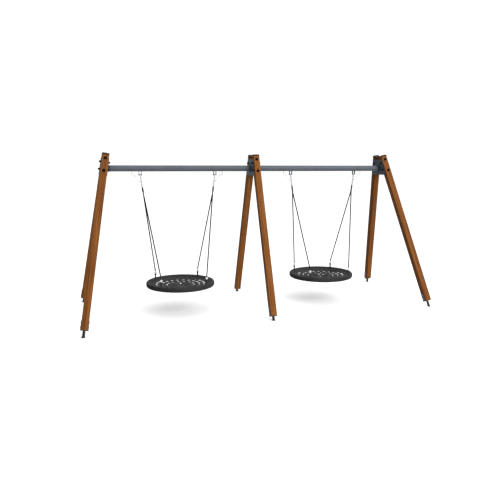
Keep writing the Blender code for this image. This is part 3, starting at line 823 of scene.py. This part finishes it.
def lug_weld(x):
    """Bead round a lug's foot: a rounded rectangle laid on the tube, z = sqrt(R^2 - y^2)."""
    foot = rounded_box_outline(LUG_THICK / 2 + 0.001, LUG_HALF_WIDTH + 0.001, 0.002, 3)
    reach = np.linspace(0.0, 1.0, 12, endpoint=False)[:, None]
    sides = [a * (1 - reach) + b * reach for a, b in zip(foot, np.roll(foot, -1, 0))]
    across, along = np.concatenate(sides).T
    bead = points_at(x + across, along, BEAM_Z - np.sqrt(BEAM_R**2 - along**2))
    step = np.linalg.norm(np.roll(bead, -1, 0) - bead, axis=1)
    return weld(bead[step > 1e-4], LUG_WELD_R, (0.0, 0.0, 1.0))


def crossbar(name, side, stands_for):
    """Round tube from collar to collar, with hanger lugs and cable eyes welded under it."""
    start = COLLAR_REACH + GAP
    end = FRAME_X - COLLAR_REACH - GAP
    inner = BEAM_R - BEAM_WALL
    profile = [
        (inner, start + 0.001), (inner, end - 0.001), (inner + 0.0015, end), (BEAM_R - 0.0012, end),
        (BEAM_R, end - 0.0012), (BEAM_R, start + 0.0012), (BEAM_R - 0.0012, start), (inner + 0.0015, start),
    ]
    patches = [turned_ring(profile, shift(0.0, 0.0, BEAM_Z) @ along_x(side))]
    lug_top = BEAM_Z - math.sqrt(BEAM_R**2 - LUG_HALF_WIDTH**2) + 0.002
    eyes = []
    for hand in (-1, 1):
        hanger = side * SEAT_X + hand * HANGER_X
        eyes.append(cable_eye(side * SEAT_X + hand * SAFETY_X))
        for x in (hanger - LUG_SPACING / 2, hanger + LUG_SPACING / 2):
            patches.append(strap(LUG_HALF_WIDTH, lug_top, PIVOT_Z, PIN_BORE_R, LUG_THICK, shift(x)))
            patches.append(lug_weld(x))
    build(name, patches, STEEL, "frame", stands_for)
    build(name + "_cable_eyes", eyes, ZINC, "frame", stands_for)


# ---------------- hangers


def hanger_matrix(seat, hand):
    return shift(seat + hand * HANGER_X, 0.0, PIVOT_Z) @ turn("Y", math.atan(hand * HANGER_SLOPE))


def hanger_point(seat, hand, down, y=0.0):
    slope = math.hypot(1.0, HANGER_SLOPE)
    x = seat + hand * (HANGER_X - down * HANGER_SLOPE / slope)
    return np.array((x, y, PIVOT_Z - down / slope))


def swivel(name, seat, hand, body, stands_for):
    """Pivot bolt with hexagon head and nut, bearing barrel with two grooves, tongue with its eye."""
    at = shift(seat + hand * HANGER_X, 0.0, PIVOT_Z)
    inside = LUG_SPACING / 2 - LUG_THICK / 2 - 0.001
    outside = LUG_SPACING / 2 + LUG_THICK / 2 + 0.001
    tip = outside + 0.004
    pin = ((0.0, -tip), (PIN_R, -tip), (PIN_R, tip), (0.0, tip))
    groove_r = BARREL_R - 0.0015
    barrel = eased(
        (
            (0.0, -inside), (BARREL_R, -inside), (BARREL_R, -0.009), (groove_r, -0.008), (BARREL_R, -0.007),
            (BARREL_R, 0.007), (groove_r, 0.008), (BARREL_R, 0.009), (BARREL_R, inside), (0.0, inside),
        ),
        0.0006,
    )
    patches = [turned(pin, at @ along_x(), 24), turned(barrel, at @ along_x(), 32)]
    for end in (-1, 1):
        patches.append(hexagon_bolt(*PIN_HEAD, at @ shift(end * outside) @ along_x(end)))
    patches.append(tongue(-0.002, EYE_AT, hanger_matrix(seat, hand)))
    build(name, patches, ZINC, body, stands_for)


def tongue(flat, eye_down, guide):
    """Strap down the hanger line to the eye that a chain's end link goes through."""
    return strap(TONGUE_HALF_WIDTH, flat, -eye_down, TONGUE_HOLE_R, TONGUE_THICK, guide, 0.0015)


def chain(name, seat, hand, body, stands_for):
    """Links, each a quarter turn from the last: the wire's path is two half circles and two lines."""
    guide = hanger_matrix(seat, hand)
    first = EYE_AT + TONGUE_HOLE_R - GAP - WIRE_R + LINK_OPENING / 2
    straight = (LINK_PITCH + 2 * WIRE_R) / 2 - LINK_HALF_WIDTH
    angle = np.linspace(0.0, math.pi, 13)
    patches = []
    for i in range(LINKS):
        edgeways = i % 2 == 0
        ends = []
        for end in (1, -1):
            across = LINK_HALF_WIDTH * np.cos(angle) * end
            down = -end * (straight + LINK_HALF_WIDTH * np.sin(angle)) - first - i * LINK_PITCH
            ends.append(points_at(across, 0.0, down) if edgeways else points_at(0.0, across, down))
        normal = guide[:3, 1] if edgeways else guide[:3, 0]
        patches.append(wire(carry(guide, np.concatenate(ends)), WIRE_R, True, 12, normal))
    build(name, patches, ZINC, body, stands_for)


def rope_head(ending, seat, hand, body, stands_for):
    """Eye, turned swivel body with grooves, and a yoke with rounded edges for two ropes."""
    guide = hanger_matrix(seat, hand)
    top, bottom = HEAD_BODY
    eye = tongue(-top - 0.004, HEAD_EYE_AT, guide)
    r = HEAD_BODY_R
    profile = eased(
        (
            (0.0, -top), (r * 0.82, -top), (r, -top - 0.006), (r, -top - 0.022), (r * 0.84, -top - 0.025),
            (r * 0.84, -top - 0.030), (r, -top - 0.033), (r, -bottom + 0.014), (r * 0.88, -bottom + 0.011),
            (r * 0.88, -bottom), (0.0, -bottom),
        ),
        0.0015,
    )
    outline = rounded_box_outline(YOKE_THICK / 2, YOKE_HALF_WIDTH, 0.0055, 5)
    insets = ((0.004, -0.004), (0.0, 0.001), (0.0, 0.034), (0.0012, 0.039), (0.0035, 0.043))
    rows = [(-YOKE_TOP - down, 1.0 - inset / YOKE_HALF_WIDTH) for inset, down in insets]
    dark = [turned(profile, guide, 40), tube_patch(carry(guide, stacked(outline, rows)))]
    for face in (-1, 1):
        at = guide @ shift(face * YOKE_THICK / 2, 0.0, -YOKE_TOP - 0.020) @ along_x(face)
        dark.append(hexagon_bolt(*YOKE_BOLT, at))
    build("rope_yoke" + ending, dark, DARK_STEEL, body, stands_for)
    build("rope_eye" + ending, [eye], ZINC, body, stands_for)


def rope_ends(seat, hand, sign):
    top = hanger_point(seat, hand, ROPE_TOP_AT, sign * ROPE_TOP_Y)
    foot = np.array((seat + hand * TIE, sign * TIE, ROPE_FOOT_Z))
    return top, foot


def laid_tube(start, end):
    """Twisted rope: the radius dips between strands as |cos|, and the strands turn along the line.

    At a share s of the line and an angle a, the point is the line's point plus
    ROPE_R * (0.97 + 0.03 * |cos(STRANDS * a / 2)|) outwards at the angle a + turns * s."""
    length = np.linalg.norm(end - start)
    tangent = unit(end - start)
    side, lift = square_to(tangent)
    share = np.linspace(0.0, 1.0, 240)[:, None]
    angle = full_turn(36)[None, :]
    lobe = ROPE_R * (0.97 + 0.03 * np.abs(np.cos(STRANDS * angle / 2)))
    close = np.where((share < 1e-9) | (share > 1 - 1e-9), 0.8, 1.0)
    heading = angle + math.tau * share * length / LAY_LENGTH
    spread = np.cos(heading)[..., None] * side + np.sin(heading)[..., None] * lift
    rings = start + (share * length)[..., None] * tangent + (lobe * close)[..., None] * spread
    return tube_patch(rings, points_at(angle / math.tau * STRANDS, share * length, 0.0))


def rope(name, seat, hand, sign, body, cad_rope):
    """Steel-cored rope pulled straight from under the yoke to just above its ring."""
    start, end = rope_ends(seat, hand, sign)
    piece = build(name, [laid_tube(start, end)], ROPE, body, [cad_rope], "lay")


def sleeve_patch(start, direction, length, radius, segments=32):
    """Pressed sleeve on a rope: a tube with rounded ends and two shallow press marks."""
    share = np.linspace(0.0, 1.0, 28)
    ends = np.minimum(1.0, np.minimum(share, 1.0 - share) / 0.06)
    dip = sum(np.exp(-(((share - mark) / 0.05) ** 2)) for mark in (0.30, 0.62))
    profile = radius * (0.86 + 0.14 * np.sqrt(ends)) - 0.0011 * dip
    side, lift = square_to(direction)
    angle = full_turn(segments)[None, :, None]
    spread = np.cos(angle) * side + np.sin(angle) * lift
    middle = start + share[:, None] * length * direction
    return tube_patch(middle[:, None] + profile[:, None, None] * spread)


def rope_fittings(ending, seat, hand, sign, body, stands_for):
    """Dark flared body on the seat, bright shackle ring and thimble, and sleeves on the rope."""
    start, end = rope_ends(seat, hand, sign)
    direction = unit(end - start)
    x = seat + hand * TIE
    y = sign * TIE
    low = SEAT_TOP + GAP
    profile = eased(
        (
            (0.0, low), (0.024, low), (0.024, low + 0.005), (0.0165, low + 0.009), (0.0115, low + 0.013),
            (0.0125, 0.570), (0.0190, 0.596), (0.0190, 0.607), (0.0150, 0.612), (0.0, 0.612),
        ),
        0.0022,
    )
    mount = turned(profile, shift(x, y), 40)
    build("rope_mount" + ending, [mount], DARK_STEEL, body, stands_for)
    angle = full_turn(40)
    circle = points_at(x + RING_R * np.cos(angle), y, RING_Z + RING_R * np.sin(angle))
    disc = eased(((0.0, -0.0055), (0.0125, -0.0055), (0.0135, 0.0), (0.0125, 0.0055), (0.0, 0.0055)), 0.001)
    thimble = turned(disc, shift(x, y, RING_Z) @ turn("X", math.pi / 2), 32)
    bright = [wire(circle, RING_WIRE_R, True, 16), thimble]
    build("rope_shackle" + ending, bright, BRIGHT_ZINC, body, stands_for)
    sleeve = sleeve_patch(end - direction * (SLEEVE_LENGTH + 0.001), direction, SLEEVE_LENGTH, SLEEVE_R)
    build("rope_sleeve" + ending, [sleeve], DARK_STEEL, body)


def safety_cable(ending, seat, hand, body, cad_cable):
    """Thin steel cable through its eye and down across to the chain's side, with its ferrules.

    The grooves between its wires dip the radius as |sin|, turning along the cable."""
    lower = hanger_point(0.0, hand, 0.120) + np.array((hand * 0.0175, 0.0, 0.0))
    corner = np.array((hand * (SAFETY_X - 0.030), 0.0, PIVOT_Z - 0.004))
    points = [np.array((hand * (SAFETY_X + past), 0.0, PIVOT_Z)) for past in (0.014, -0.012)]
    points += [corner + (lower - corner) * i / 4 for i in range(5)]
    points = np.array(points) + np.array((seat, 0.0, 0.0))
    path, share = evenly(points, 60)
    rings = wire(path, SAFETY_R, False, 18)["points"]
    groove = 1.0 - 0.14 * np.abs(np.sin(3.0 * (full_turn(18)[None, :] + share[:, None] * 240.0)))
    rings = path[:, None] + (rings - path[:, None]) * groove[..., None]
    piece = build("drop_cable" + ending, [tube_patch(rings)], ZINC, body, [cad_cable])
    down = unit(points[-1] - points[2])
    ferrules = [
        sleeve_patch(points[2] + down * 0.010, down, 0.016, FERRULE_R, 20),
        sleeve_patch(points[-1] - down * 0.020, down, 0.018, FERRULE_R, 20),
    ]
    build("cable_ferrules" + ending, ferrules, DARK_STEEL, body)


# ---------------- seat


def seat_ring(name, seat, body, stands_for):
    """Bumper ring: a rounded section turned about the seat's axis, with moulded seams across it.

    Every 30 degrees the section shrinks a little towards its own middle, which draws a seam."""
    rim = SEAT_R - SKIN
    top = SEAT_TOP - SKIN
    corners = rounded_outline(
        (
            (0.5190, 0.4644), (0.5400, 0.4482), (0.5860, 0.4512), (rim, 0.4680),
            (rim, 0.5140), (0.5880, top), (0.5460, top), (0.5190, 0.5116),
        ),
        0.006,
        5,
    )
    centre = corners.mean(0)
    angle = full_turn(288)
    to_seam = (np.degrees(angle) + SEAM_EVERY / 2) % SEAM_EVERY - SEAM_EVERY / 2
    depth = 0.035 * np.exp(-((to_seam / 0.9) ** 2))
    section = centre + (corners - centre) * (1.0 - depth)[:, None, None]
    radius, height = section[..., 0], section[..., 1]
    rings = points_at(seat + radius * np.cos(angle)[:, None], radius * np.sin(angle)[:, None], height)
    build(name, [loop_patch(rings)], RUBBER, body, stands_for)


def net_height(radius):
    """Middle of the net's thickness: the edge's, less a dish that fades with the radius squared."""
    return NET_EDGE_TOP - NET_THICK / 2 - NET_DISH * (1.0 - (radius / NET_R) ** 2)


NET_HUB_R = 0.040
NET_BAND_R = 0.460
NET_RINGS = (  # inner radius, outer radius, openings, half length outwards, half width around
    (NET_HUB_R, 0.190, 9, 0.054, 0.018),
    (0.190, 0.290, 14, 0.027, 0.041),
    (0.290, 0.380, 20, 0.027, 0.042),
    (0.380, NET_BAND_R, 24, 0.028, 0.045),
)
NET_PLAIN_SINE = 0.62  # pieces of the last ring nearer to the front or rear than this stay closed
NET_LIP = 0.0060  # half thickness at an opening's edge
NET_VALLEY = 0.0046  # half thickness between two openings
NET_EASE = 0.0018
LEAF_POWER = 1.45  # 2 is an ellipse and 1 a diamond
CELL_POINTS = 56


def net_cell(seat, inner, outer, span, heading, half_out, half_around, closed):
    """One piece of the mat about its own leaf-shaped opening, or with none if closed.

    On the unrolled mat the rim is a rectangle and the opening, in each direction from its middle,
    is at 1 / (|cos / half_out|^p + |sin / half_around|^p)^(1/p). Rolled up, the first
    coordinate is added to the radius and the second is divided by it to give the angle."""
    middle = (inner + outer) / 2
    half_u = (outer - inner) / 2
    half_v = span / 2 * middle
    angle = full_turn(CELL_POINTS) + math.pi / CELL_POINTS
    c, s = np.cos(angle), np.sin(angle)
    rim = np.minimum(half_u / np.abs(c), half_v / np.abs(s))
    hole = (np.abs(c / half_out) ** LEAF_POWER + np.abs(s / half_around) ** LEAF_POWER) ** (-1 / LEAF_POWER)
    lip = np.minimum(hole + 3 * NET_EASE, 0.5 * (hole + rim))
    if closed:
        rows = ((rim, -NET_VALLEY), (rim, NET_VALLEY))
    else:
        rows = (
            (rim, NET_VALLEY), (lip, NET_LIP), (hole + NET_EASE, NET_LIP), (hole, NET_LIP - NET_EASE),
            (hole, NET_EASE - NET_LIP), (hole + NET_EASE, -NET_LIP), (lip, -NET_LIP), (rim, -NET_VALLEY),
        )
    rings = []
    for reach, rise in rows:
        radius = middle + reach * c
        turned_by = heading + reach * s / middle
        height = net_height(radius) + rise
        rings.append(points_at(seat + radius * np.cos(turned_by), radius * np.sin(turned_by), height))
    return tube_patch(np.array(rings)) if closed else loop_patch(np.array(rings))


def seat_net(name, seat, body, stands_for):
    """Dished mat between a hub and an outer band, with rings of leaf-shaped openings between."""
    patches = []
    for order, (inner, outer, count, half_out, half_around) in enumerate(NET_RINGS):
        span = math.tau / count
        for k in range(count):
            heading = (k + 0.5 * (order % 2)) * span
            closed = order == len(NET_RINGS) - 1 and abs(math.sin(heading)) > NET_PLAIN_SINE
            patches.append(net_cell(seat, inner, outer, span, heading, half_out, half_around, closed))
    hub_top = net_height(0.0)
    hub = eased(
        (
            (0.0, hub_top - NET_LIP), (NET_HUB_R + 0.002, hub_top - NET_LIP),
            (NET_HUB_R + 0.002, hub_top + NET_LIP), (0.022, hub_top + NET_LIP),
            (0.018, hub_top + NET_VALLEY), (0.0, hub_top + NET_VALLEY),
        ),
        0.002,
    )
    patches.append(turned(hub, shift(seat), 64))
    start = NET_BAND_R - 0.001
    inner = net_height(start)
    outer = net_height(NET_R)
    band = rounded_outline(
        (
            (start, inner - 0.0080), (NET_R - SKIN, outer - 0.0095),
            (NET_R - SKIN, outer + 0.0095), (start, inner + 0.0080),
        ),
        0.004,
        4,
    )
    patches.append(turned_ring(band, shift(seat), 160))
    build(name, patches, NET_RUBBER, body, stands_for)


# ---------------- camera, floor and light


LENS = 37.71  # for a sensor 36 wide
CAMERA_AT = (-2.8929, -9.0624, 2.5138)
CAMERA_DOWN = 0.1557  # looking down, in radians
CAMERA_TURN = -0.3023  # turned towards +X from +Y
FLOOR_HALF = 60.0
FLOOR_GLOW = 0.19  # lifts the soft shadows under the seats
BACKDROP = 1.05  # how bright the dome itself looks
KEY_AT = (4.5, -9.0, 6.5)
KEY_TARGET = (0.0, 0.0, 1.2)
KEY_SIDE = 5.0
KEY_WATTS = 560.0


def set_camera():
    data = bpy.data.cameras.new("view")
    data.sensor_width = 36.0
    data.lens = LENS
    camera = bpy.data.objects.new("view", data)
    camera.location = CAMERA_AT
    camera.rotation_euler = (math.pi / 2 - CAMERA_DOWN, 0.0, CAMERA_TURN)
    bpy.context.scene.collection.objects.link(camera)
    bpy.context.scene.camera = camera


def key_light():
    data = bpy.data.lights.new("key", "AREA")
    data.shape = "SQUARE"
    data.size = KEY_SIDE
    data.energy = KEY_WATTS
    light = bpy.data.objects.new("key", data)
    light.location = KEY_AT
    light.rotation_euler = (Vector(KEY_TARGET) - Vector(KEY_AT)).to_track_quat("-Z", "Y").to_euler()
    bpy.context.scene.collection.objects.link(light)


def pale_floor():
    """Wide pale floor with a faint mottle."""
    material, tree, shader = finish("pale_floor", 0.9, Specular_IOR_Level=0.0)
    cloud = noise(tree, place_of(tree), 0.8, 3.0)
    tone = ramp(tree, cloud, ((0.3, grey(0.93)), (0.7, grey(0.95))))
    tree.links.new(tone, shader.inputs["Base Color"])
    shader.inputs["Emission Color"].default_value = (1.0, 1.0, 1.0, 1.0)
    shader.inputs["Emission Strength"].default_value = FLOOR_GLOW
    corners = [(x * FLOOR_HALF, y * FLOOR_HALF, 0.0) for x, y in ((-1, -1), (1, -1), (1, 1), (-1, 1))]
    mesh = bpy.data.meshes.new("floor")
    mesh.from_pydata(corners, [], [(0, 1, 2, 3)])
    mesh.materials.append(material)
    floor = bpy.data.objects.new("floor", mesh)
    bpy.context.scene.collection.objects.link(floor)
    floor.visible_diffuse = False
    floor.visible_glossy = False


def ease_between(tree, value, low, high, from_value, to_value):
    """Smooth step of a value: from_value below low, to_value above high."""
    node = add(tree, "MapRange", From_Min=low, From_Max=high, To_Min=from_value, To_Max=to_value)
    node.interpolation_type = "SMOOTHSTEP"
    tree.links.new(value, node.inputs["Value"])
    return node.outputs["Result"]


def times(tree, first, second):
    node = add(tree, "Math")
    node.operation = "MULTIPLY"
    tree.links.new(first, node.inputs[0])
    tree.links.new(second, node.inputs[1])
    return node.outputs[0]


def set_light():
    """White studio dome and one soft key light.

    The dome lights most from overhead and least from below and the left, and looks evenly white."""
    world = bpy.data.worlds.new("studio")
    world.use_nodes = True
    tree = world.node_tree
    parts = add(tree, "SeparateXYZ")
    tree.links.new(add(tree, "TexCoord").outputs["Generated"], parts.inputs["Vector"])
    overhead = ease_between(tree, parts.outputs["Z"], 0.30, 1.0, 1.05, 1.45)
    below = ease_between(tree, parts.outputs["Z"], -0.12, -0.02, 0.80, 1.0)
    left = ease_between(tree, parts.outputs["X"], -0.75, -0.25, 0.30, 1.0)
    strength = times(tree, times(tree, overhead, below), left)
    blend = add(tree, "Mix")
    blend.data_type = "FLOAT"
    tree.links.new(add(tree, "LightPath").outputs["Is Camera Ray"], blend.inputs["Factor"])
    tree.links.new(strength, blend.inputs["A"])
    blend.inputs["B"].default_value = BACKDROP
    tree.links.new(blend.outputs["Result"], tree.nodes["Background"].inputs["Strength"])
    tree.nodes["Background"].inputs["Color"].default_value = (1.0, 1.0, 1.0, 1.0)
    bpy.context.scene.world = world
    key_light()
    bpy.context.scene.view_settings.view_transform = "Standard"


# ---------------- assembly


def build_frames():
    order = 0
    for frame_name, side in FRAMES:
        for leg_name, sign in SIDES:
            ending = f"_{frame_name}_{leg_name}"
            order += 1
            timber_post("timber" + ending, side, sign, order, ["post" + ending])
            post_cap("cap" + ending, side, sign, ["post_cap" + ending])
            face_bolts("face_bolts" + ending, side, sign)
            ground_anchor(ending, side, sign, ["ground_anchor" + ending])
        head_bracket(frame_name, side, ["head_bracket_" + frame_name])


def build_swing(side_name, side):
    body = "swing_" + side_name
    seat = side * SEAT_X
    for hand_name, hand in (("inner", -side), ("outer", side)):
        ending = f"_{side_name}_{hand_name}"
        for leg_name, sign in SIDES:
            full = ending + "_" + leg_name
            rope("laid_rope" + full, seat, hand, sign, body, "rope" + full)
            rope_fittings(full, seat, hand, sign, body, ["rope_fixing" + full])
        safety_cable(ending, seat, hand, body, "safety_cable" + ending)
        swivel("pivot" + ending, seat, hand, body, ["swivel" + ending])
        chain("links" + ending, seat, hand, body, ["chain" + ending])
        rope_head(ending, seat, hand, body, ["rope_head" + ending])
    seat_ring("bumper_" + side_name, seat, body, ["seat_ring_" + side_name])
    seat_net("net_" + side_name, seat, body, ["seat_net_" + side_name])


set_camera()
for side_name, side in (("left", -1), ("right", 1)):
    build_swing(side_name, side)
    crossbar("beam_" + side_name, side, ["crossbar_" + side_name])
build_frames()
pale_floor()
set_light()
